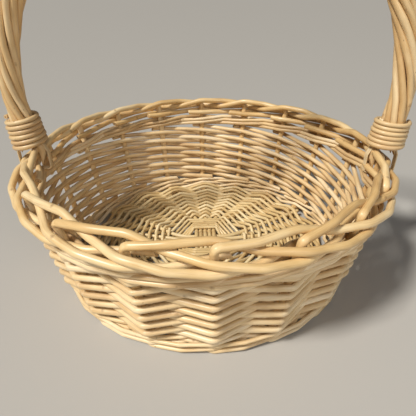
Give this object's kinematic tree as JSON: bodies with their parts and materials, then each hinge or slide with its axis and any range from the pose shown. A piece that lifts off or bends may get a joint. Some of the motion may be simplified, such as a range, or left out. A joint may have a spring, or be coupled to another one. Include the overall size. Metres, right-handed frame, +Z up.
{
  "type": "egg collection basket",
  "caption": "Round open basket of woven round willow rods with a flared side, a rolled rod border, a stick and strand base and a tall roped hoop handle bound at the rim.",
  "frame": {"origin": "on the floor, under the middle of the round base", "axes": "+Z up; +X towards the right foot of the handle, so the hoop stands in the XZ plane; +Y towards the back"},
  "size_m": [0.4132, 0.3918, 0.3907],
  "materials": {
    "base_willow": "satin",
    "weaver_willow": "satin",
    "stake_willow": "satin",
    "handle_willow": "satin",
    "core_willow": "satin",
    "split_willow": "satin"
  },
  "bodies": {
    "root": {"base_pierced_sticks": "base_willow", "base_slath_tie": "base_willow", "base_threaded_sticks": "base_willow", "base_weaver_1": "base_willow", "base_weaver_2": "base_willow", "foot_wale_rod_1": "weaver_willow", "foot_wale_rod_2": "weaver_willow", "foot_wale_rod_3": "weaver_willow", "handle_binding_left": "split_willow", "handle_binding_right": "split_willow", "handle_core": "core_willow", "handle_lashing_left": "split_willow", "handle_lashing_right": "split_willow", "handle_rope_rod_1": "handle_willow", "handle_rope_rod_2": "handle_willow", "handle_rope_rod_3": "handle_willow", "handle_rope_rod_4": "handle_willow", "handle_rope_rod_5": "handle_willow", "handle_rope_rod_6": "handle_willow", "handle_rope_rod_7": "handle_willow", "handle_rope_rod_8": "handle_willow", "side_weaver_01": "weaver_willow", "side_weaver_02": "weaver_willow", "side_weaver_03": "weaver_willow", "side_weaver_04": "weaver_willow", "side_weaver_05": "weaver_willow", "side_weaver_06": "weaver_willow", "side_weaver_07": "weaver_willow", "side_weaver_08": "weaver_willow", "side_weaver_09": "weaver_willow", "side_weaver_10": "weaver_willow", "side_weaver_11": "weaver_willow", "side_weaver_12": "weaver_willow", "side_weaver_13": "weaver_willow", "side_weaver_14": "weaver_willow", "side_weaver_15": "weaver_willow", "side_weaver_16": "weaver_willow", "side_weaver_17": "weaver_willow", "side_weaver_18": "weaver_willow", "stake_01": "stake_willow", "stake_02": "stake_willow", "stake_03": "stake_willow", "stake_04": "stake_willow", "stake_05": "stake_willow", "stake_06": "stake_willow", "stake_07": "stake_willow", "stake_08": "stake_willow", "stake_09": "stake_willow", "stake_10": "stake_willow", "stake_11": "stake_willow", "stake_12": "stake_willow", "stake_13": "stake_willow", "stake_14": "stake_willow", "stake_15": "stake_willow", "stake_16": "stake_willow", "stake_17": "stake_willow", "stake_18": "stake_willow", "upper_wale_rod_1": "weaver_willow", "upper_wale_rod_2": "weaver_willow", "upper_wale_rod_3": "weaver_willow"}
  },
  "joints": []
}
